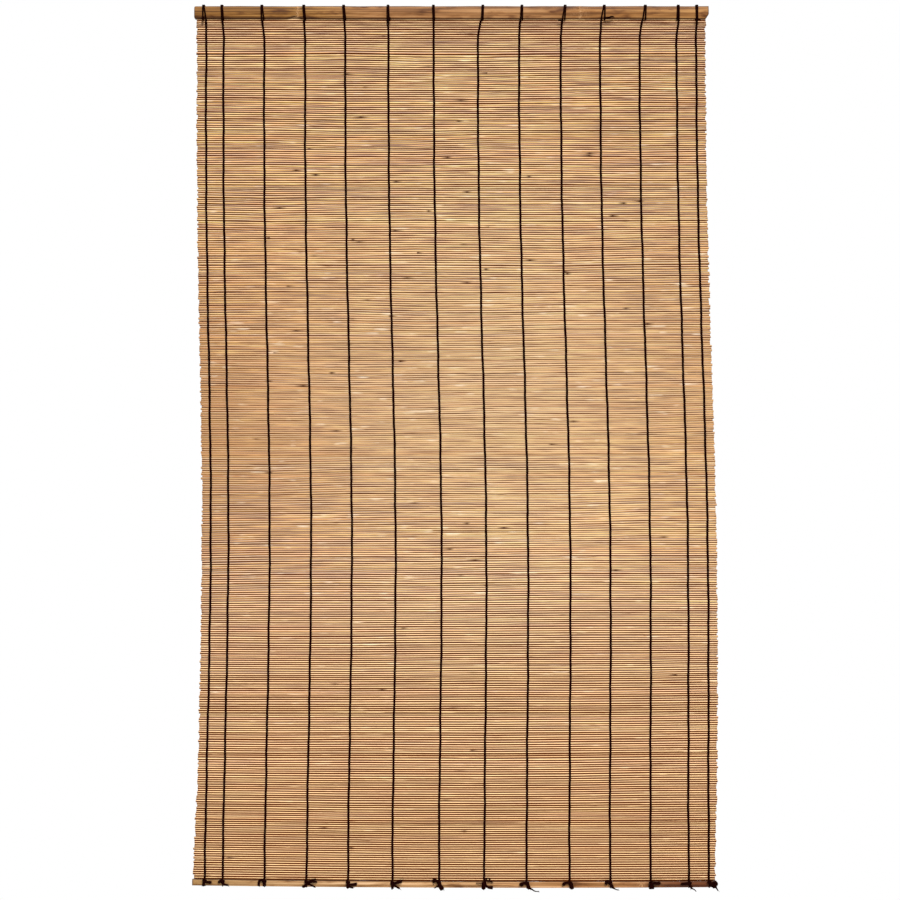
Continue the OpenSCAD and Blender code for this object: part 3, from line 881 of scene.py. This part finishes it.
# Strokes of each knot at the foot: a thickness at its start and end, then its points across and up
# from where the cord meets the bottom batten's upper edge, all in millimetres
KNOT_STROKES = (
    (((1.3, 1.9), (0, -1.5), (3, -4), (7, -4.7), (12, -5.2)), ((1.6, 1.4), (0, -3), (-1.5, -8), (-3, -11))),
    (((1.8, 1.6), (0, -1.5), (-3.5, -2), (-7, -4.5)), ((1.8, 1.1), (0.5, -4), (3, -8), (10.5, -10))),
    (((1.5, 1.4), (1, -0.5), (-4, 1), (-9, -0.5), (-10.5, -5), (-10, -10)), ((1.8, 2), (0, -3), (0.5, -11))),
    (((1.6, 1.5), (1, -5), (-2, -9), (-7, -11)), ((1.2, 1), (2, -3.5), (9, 0.5), (17, 3)),
     ((1.2, 1), (2, -4), (11, -2), (19, -1.8)), ((1.2, 1), (2, -5), (9, -8), (16, -11.5))),
    (((2, 2.1), (0, -2), (0, -7), (0, -12)), ((1.3, 2), (2, -6), (9, -6), (16.5, -5.5)),
     ((1.4, 1), (2, -9), (5, -11), (10, -12.3))),
    (((1.7, 1.6), (0, -2), (0, -7), (0, -13)), ((1.3, 2.2), (2, -4), (9, -2), (17, 1.2)),
     ((1.3, 1.1), (2, -5), (7, -9), (13.5, -13.2))),
    (((1.8, 1.6), (0, 0), (-5, 2), (-10, 4), (-9, -1)), ((2.4, 2.8), (0, -2), (2, -8), (6, -14)),
     ((0.9, 0.6), (-1, -7), (-4, -9), (-8, -11.5))),
    (((2.2, 2.3), (-1, 0), (-1.6, -6), (-2, -13)),
     ((0.9, 0.8), (2, 0), (4, 6), (8, 6.5), (10, 4), (6, 2), (13, 1), (14, -1)),
     ((1.2, 2), (1, -5), (7, -10), (15, -11)), ((0.7, 0.5), (0, -2), (-8, -2.4), (-14, -2.3))),
    (((1.9, 1.7), (0, -2), (-6, -2.5), (-12, -4), (-9, -7)), ((2.2, 2.2), (1, -4), (2.5, -8), (4, -12)),
     ((1.2, 0.4), (4, -11), (9, -13.5), (14.5, -17), (21, -18))),
    (((1.5, 1.8), (2, -1), (-5, -1.5), (-11, -3), (-12, -6)), ((2.2, 2.3), (2, -2), (3, -7), (4, -12.5))),
    (((1.8, 1.7), (0, -1), (-4, 1), (-8, 0), (-8.5, -4)), ((2, 1.8), (0, -4), (2, -7), (4, -11)),
     ((1.1, 0.4), (4, -11), (9, -13.5), (13.4, -15.5))),
    (((2, 2), (2, -2), (0, -8), (-3, -10.5), (5, -10.5)), ((1.7, 2), (4, -2), (10, -3), (16, -2.5))),
    (((1.8, 1.6), (0, -3), (-7, -4), (-15, -4.7)), ((1.5, 1.3), (1, -5), (2.5, -9), (4, -13)),
     ((0.9, 0.4), (4, -13), (9, -15), (12, -18))),
    (((1.4, 1.4), (0, 0), (2, -4), (4, -9)),
     ((1.5, 1.5), (4, -8), (7, -3), (12, -2.5), (13, -6), (8, -8), (12, -10), (6, -11)),
     ((1.1, 0.6), (10, -9), (13, -13), (15.5, -17))),
)
# Loose ends at the head by cord, counted from 0: drawn like those of the knots, but from where the cord
# leaves the head batten's lower edge
HEAD_STROKES = {
    0: (((1.4, 1.6), (-5.6, 3), (-5.8, 0), (-6, -2.5)),),
    5: (((1.7, 1.5), (1.2, 1), (1.8, -2), (0.5, -4.5)),),
    9: (((0.8, 0.6), (2, -4.6), (-2, -4.8), (-4, -4.8)),),
    10: (((1.2, 0.8), (8, 0.5), (12, 0.3), (17, 0.8), (22, 2.6), (26, 2.2)),),
    13: (((0.7, 0.6), (-3, -2.6), (1, -2.8), (6, -3)),),
}


def loop_turn(leg, peak):
    """One turn over the head batten, up its front leg, over its peak and down its back leg."""
    front, back = head_low.y - LOOP_R, head_high.y + LOOP_R
    high, low = head_high.z + LOOP_R, head_low.z
    half = (leg + peak) / 2
    shoulder = high - LOOP_R - LOOP_EDGE
    off = ROUNDING * LOOP_EDGE
    return [(leg, front + LOOP_PRESS, low + LOOP_PRESS), (half, front, 0), (peak, front, shoulder),
            (peak, front + off, high - off), (peak, 0, high), (peak, back - off, high - off),
            (peak, back, shoulder), (half, back, 0), (leg, back - LOOP_PRESS, low + LOOP_PRESS)]


def head_loops(k, front_start, back_end):
    """Two turns over the head batten: one runs on into the strands of the mat, one closes on itself."""
    x = cord_half_span * CORD_SHARES[k] - START_SHIFT
    top, on_leg, end_leg = (x + place * MM for place in LOOP_SHAPES[k])
    side = LOOP_SPREAD if end_leg > on_leg else -LOOP_SPREAD
    running = smooth([front_start] + loop_turn(on_leg, top - side) + [back_end], TURN_STEPS)
    closing = loop_turn(end_leg, top + side)
    closing = smooth(closing + [(end_leg, 0, head_low.z - LOOP_DIP), closing[0]], TURN_STEPS)
    runs = [(path, np.full(len(path), LOOP_R), CORD_SIDES) for path in (running, closing)]
    return runs + strokes(x, head_low.y - LOOP_R, head_low.z, HEAD_STROKES.get(k, ()))


def foot_turn(k, start, end):
    """One turn under the bottom batten, from the front strand to the back strand."""
    front, back = foot_low.y - FOOT_R, foot_high.y + FOOT_R
    x = warp_x(k, foot_high.z)
    down = hang(x, 1)
    high, low = foot_high.z - down, foot_low.z - down
    middle = (high + low) / 2
    under = low - FOOT_R / 2
    off = ROUNDING * FOOT_EDGE
    points = [start, (x, front, high - FOOT_START), (x, front, middle), (x, front, low + FOOT_EDGE),
              (x, front + off, under + off), (x, 0, under), (x, back - off, under + off),
              (x, back, low + FOOT_EDGE), (x, back, middle), (x, back, high - FOOT_START), end]
    return smooth(points, TURN_STEPS)


def frayed_tip(tip, way, radius):
    """The fibres that stand out at the tip of a loose end."""
    runs = []
    for _ in range(FRAY_COUNT):
        spread = np.array([dice.gauss(0, share) for share in FRAY_SPREAD])
        fibre = way + spread
        reach = dice.uniform(*FRAY_REACH) * MM
        bent = fibre + np.array([dice.gauss(0, FRAY_BEND), 0, dice.gauss(0, FRAY_BEND)])
        start = tip + spread * radius * FRAY_START
        path = np.array([start - way * MM, start + fibre * reach / 2, start + bent * reach])
        runs.append((path, FRAY_RADII, FRAY_SIDES))
    return runs


def strokes(x, face, z, drawings):
    """Loose ends of cord that lie in front of a batten, each frayed into fibres at its tip."""
    runs = []
    for (first_r, last_r), *marks in drawings:
        points = []
        for i, (across, up) in enumerate(marks):
            arch = STROKE_ARCH * math.sin(math.pi * i / (len(marks) - 1)) ** 2
            points.append((x + across * MM, face - STROKE_OFF - arch, z + up * MM))
        path = smooth(points, STROKE_STEPS)
        runs.append((path, np.linspace(first_r, last_r, len(path)) * STROKE_SWELL * MM, CORD_SIDES))
        way = path[-1] - path[-2]
        runs += frayed_tip(path[-1], way / np.linalg.norm(way), last_r * MM)
    return runs


def bottom_knot(k):
    """A knot in front of the bottom batten with its loose ends."""
    x = warp_x(k, foot_high.z)
    z = foot_high.z - hang(x, 1)
    face = foot_low.y - STRAND_R
    ts = np.linspace(KNOT_OPEN, 2 * math.pi - KNOT_OPEN, KNOT_STEPS)
    u = KNOT_R / 3 * (np.sin(ts) + 2 * np.sin(2 * ts))
    v = KNOT_R / 3 * (np.cos(ts) - 2 * np.cos(2 * ts))
    roll = dice.uniform(0, FULL_TURN)
    across = u * math.cos(roll) - v * math.sin(roll)
    upright = u * math.sin(roll) + v * math.cos(roll)
    overhand = np.column_stack([x + across, face - KNOT_OUT + KNOT_H * np.sin(3 * ts),
                                z - KNOT_DOWN + upright])
    knot = [(overhand, np.full(len(ts), KNOT_STRAND_R), CORD_SIDES)]
    return knot + strokes(x, face, z, KNOT_STROKES[k])


def warp_cords(material):
    """The fourteen warp cords, each twined of two strands, looped at the top and knotted at the foot."""
    for k in range(len(CORD_SHARES)):
        phases = [dice.uniform(0, FULL_TURN) for _ in WANDER]
        one, one_r = twine(k, 1, phases)
        other, other_r = twine(k, -1, phases)
        front, back = (one, other) if one[-1][1] < 0 else (other, one)
        foot = foot_turn(k, front[-1], back[-1])
        runs = [(one, one_r, CORD_SIDES), (other, other_r, CORD_SIDES),
                (foot, np.full(len(foot), FOOT_R), CORD_SIDES)]
        runs += head_loops(k, one[0], other[0]) + bottom_knot(k)
        node = "warp_cord_%02d" % (k + 1)
        cord_piece("twined_" + node, runs, material, [node])


# Stage, light and camera

FLOOR_PLACE = (0, -0.6, -1.95)
FLOOR_SIZE = (3.4, 3.0, 1)
CAMERA_AIM = Vector((-2.9 * MM, 0, -0.852))
CAMERA_DISTANCE = 3.5
CAMERA_RISE = math.radians(-3.3)
CAMERA_LENS = 72.95


def pale_floor():
    """A plain pale floor well below the blind."""
    deselect_all()
    bpy.ops.mesh.primitive_plane_add(size=1, location=FLOOR_PLACE)
    floor = bpy.context.active_object
    floor.scale = FLOOR_SIZE
    floor.name = "floor"
    material, tree, out = new_material("pale_studio_floor")
    paint = add(tree, "ShaderNodeBsdfPrincipled", {"Base Color": linear("#f1f0ee"), "Roughness": 0.9})
    tree.links.new(paint.outputs["BSDF"], out.inputs["Surface"])
    floor.data.materials.append(material)


def white_world(strength):
    """A white background for the eye, and a weaker even light on the object."""
    world = bpy.data.worlds.new("studio")
    bpy.context.scene.world = world
    world.use_nodes = True
    tree = world.node_tree
    tree.nodes.clear()
    light = add(tree, "ShaderNodeBackground", {"Color": (1, 1, 1, 1), "Strength": strength})
    white = add(tree, "ShaderNodeBackground", {"Color": (1, 1, 1, 1), "Strength": 1})
    ray = add(tree, "ShaderNodeLightPath")
    seen = add(tree, "ShaderNodeMath", {0: ray.outputs["Is Camera Ray"], 1: ray.outputs["Is Glossy Ray"]},
               operation="MAXIMUM")
    shown = add(tree, "ShaderNodeMath", {0: seen.outputs["Value"], 1: ray.outputs["Is Transmission Ray"]},
                operation="MAXIMUM")
    mix = add(tree, "ShaderNodeMixShader", {0: shown.outputs["Value"], 1: light.outputs["Background"],
                                            2: white.outputs["Background"]})
    add(tree, "ShaderNodeOutputWorld", {"Surface": mix.outputs["Shader"]})


def soft_light(name, place, aim, size, watts):
    """A square soft light that faces a point."""
    data = bpy.data.lights.new(name, "AREA")
    data.size = size
    data.energy = watts
    lamp = bpy.data.objects.new(name, data)
    lamp.location = place
    lamp.rotation_mode = "QUATERNION"
    lamp.rotation_quaternion = (Vector(aim) - Vector(place)).to_track_quat("-Z", "Y")
    bpy.context.collection.objects.link(lamp)


def key_light(way, softness, strength):
    """A far soft light from above, so that each stick is lit on top and shades the crevice below it."""
    data = bpy.data.lights.new("key", "SUN")
    data.angle = math.radians(softness)
    data.energy = strength
    lamp = bpy.data.objects.new("key", data)
    lamp.rotation_mode = "QUATERNION"
    lamp.rotation_quaternion = way.to_track_quat("-Z", "Y")
    bpy.context.collection.objects.link(lamp)


def photo_camera():
    """A long lens straight in front of the blind and a little below its middle."""
    data = bpy.data.cameras.new("camera")
    data.lens = CAMERA_LENS
    data.sensor_width = 36
    camera = bpy.data.objects.new("camera", data)
    back = Vector((0, -math.cos(CAMERA_RISE), math.sin(CAMERA_RISE)))
    camera.location = CAMERA_AIM + back * CAMERA_DISTANCE
    camera.rotation_mode = "QUATERNION"
    camera.rotation_quaternion = (-back).to_track_quat("-Z", "Y")
    bpy.context.collection.objects.link(camera)
    bpy.context.scene.camera = camera


bpy.context.scene.view_settings.view_transform = "Standard"
photo_camera()
white_world(strength=0.2)
key_light(Vector((-0.25, 1.0, -1.0)), softness=20, strength=3.7)
soft_light("fill", place=(0.4, -2.2, -0.75), aim=(0.1, 0, -0.8), size=1.2, watts=13)
soft_light("back", place=(0.5, 2.4, -0.7), aim=(0, 0, -0.8), size=1.6, watts=58)
pale_floor()

reed_sticks(bamboo_stick_material())

head = lath(head_low, head_high, crown=1.7 * MM, edge_r=1.2 * MM, joints=HEAD_JOINTS,
            fine_places=HEAD_SCAR_RINGS, rise=0.8 * MM, wave=0.35 * MM, shape_ends=head_ends, share=0)
brown = bamboo_lath_material(
    "planed_bamboo_lath_brown",
    stops=((0.38, "#5a3814"), (0.5, "#875b29"), (0.62, "#aa7a40")),
    right_stops=((0.38, "#764a26"), (0.5, "#a67245"), (0.62, "#c28e60")),
    change_x=-0.2, change_w=0.2, joint_share=0.45,
    tints=((0.0, "#ffffff"), (0.64, "#f8ffff"), (0.76, "#dcd4b4"), (0.9, "#efefd3")))
finish_piece(head, "head_lath", brown, ["head_batten"])

foot = lath(foot_low, foot_high, crown=1.0 * MM, edge_r=1.0 * MM, joints=FOOT_JOINTS,
            fine_places=(), rise=0.5 * MM, wave=0.3 * MM, shape_ends=foot_ends, share=1)
golden = bamboo_lath_material(
    "planed_bamboo_lath_golden",
    stops=((0.36, "#876237"), (0.5, "#b58b60"), (0.64, "#d0ab82")),
    right_stops=((0.36, "#3a1c09"), (0.5, "#553015"), (0.64, "#704222")),
    change_x=0.36, change_w=0.16, joint_share=0.4,
    tints=((0.0, "#dadccd"), (0.3, "#f4f5f8"), (0.52, "#ffffff"), (0.75, "#e8d6c4")))
finish_piece(foot, "foot_lath", golden, ["bottom_batten"])

warp_cords(cotton_cord_material())
